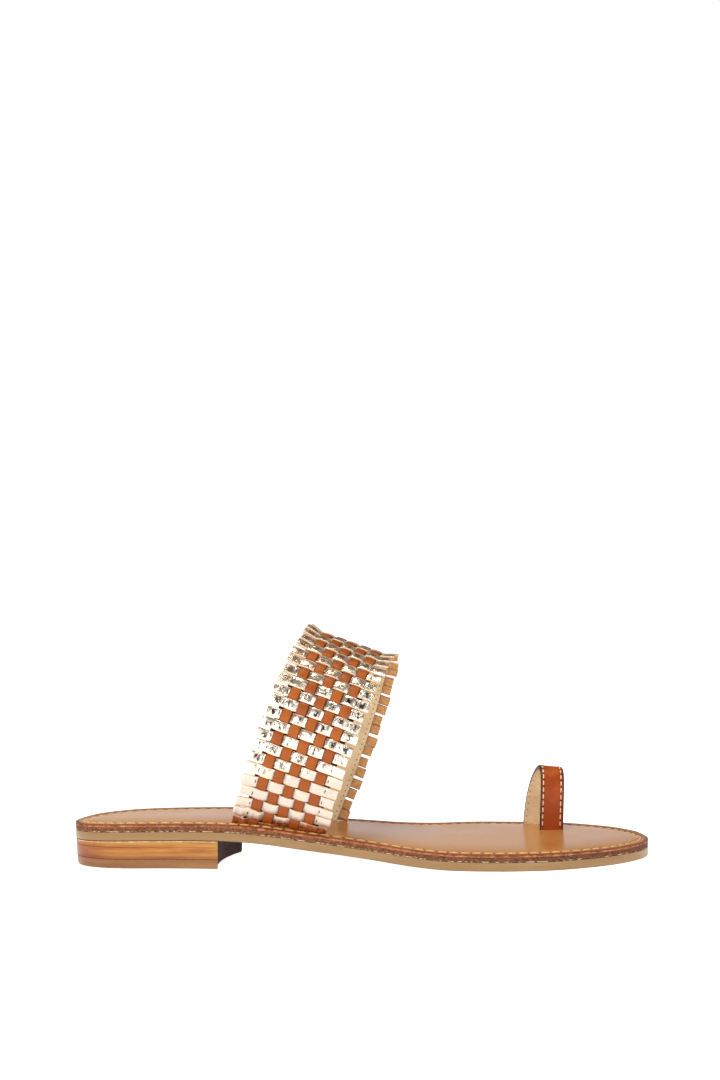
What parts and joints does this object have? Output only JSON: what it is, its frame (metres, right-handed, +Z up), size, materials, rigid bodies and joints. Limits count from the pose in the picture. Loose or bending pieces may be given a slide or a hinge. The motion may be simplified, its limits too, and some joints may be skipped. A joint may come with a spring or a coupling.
{
  "type": "leather sandal",
  "caption": "Right-foot leather slide sandal with a woven fringed instep strap, a toe ring and a flat sole on a low stacked heel.",
  "frame": {"origin": "on the floor, under the middle of the shoe's bounding box", "axes": "+X from heel to toe, +Y towards the medial (big toe) side, +Z up"},
  "size_m": [0.251, 0.0893, 0.1027],
  "materials": {
    "outsole": "honey resin rubber, satin",
    "midsole": "dark brown mottled leather board, matt",
    "insole": "smooth tan leather, satin, stitched round its edge",
    "heel_lift": "stacked leather lifts, varnished, wood-like streaks",
    "top_piece": "honey rubber tread, satin",
    "strap": "plain weave of cognac leather and pale gold foil leather strips",
    "toe_loop": "smooth cognac leather with painted edges and two rows of stitches"
  },
  "bodies": {
    "root": {"outsole": "outsole", "midsole": "midsole", "insole": "insole", "heel_lift_upper": "heel_lift", "heel_lift_lower": "heel_lift", "heel_top_piece": "top_piece", "vamp_strap": "strap", "toe_loop": "toe_loop"}
  },
  "joints": []
}
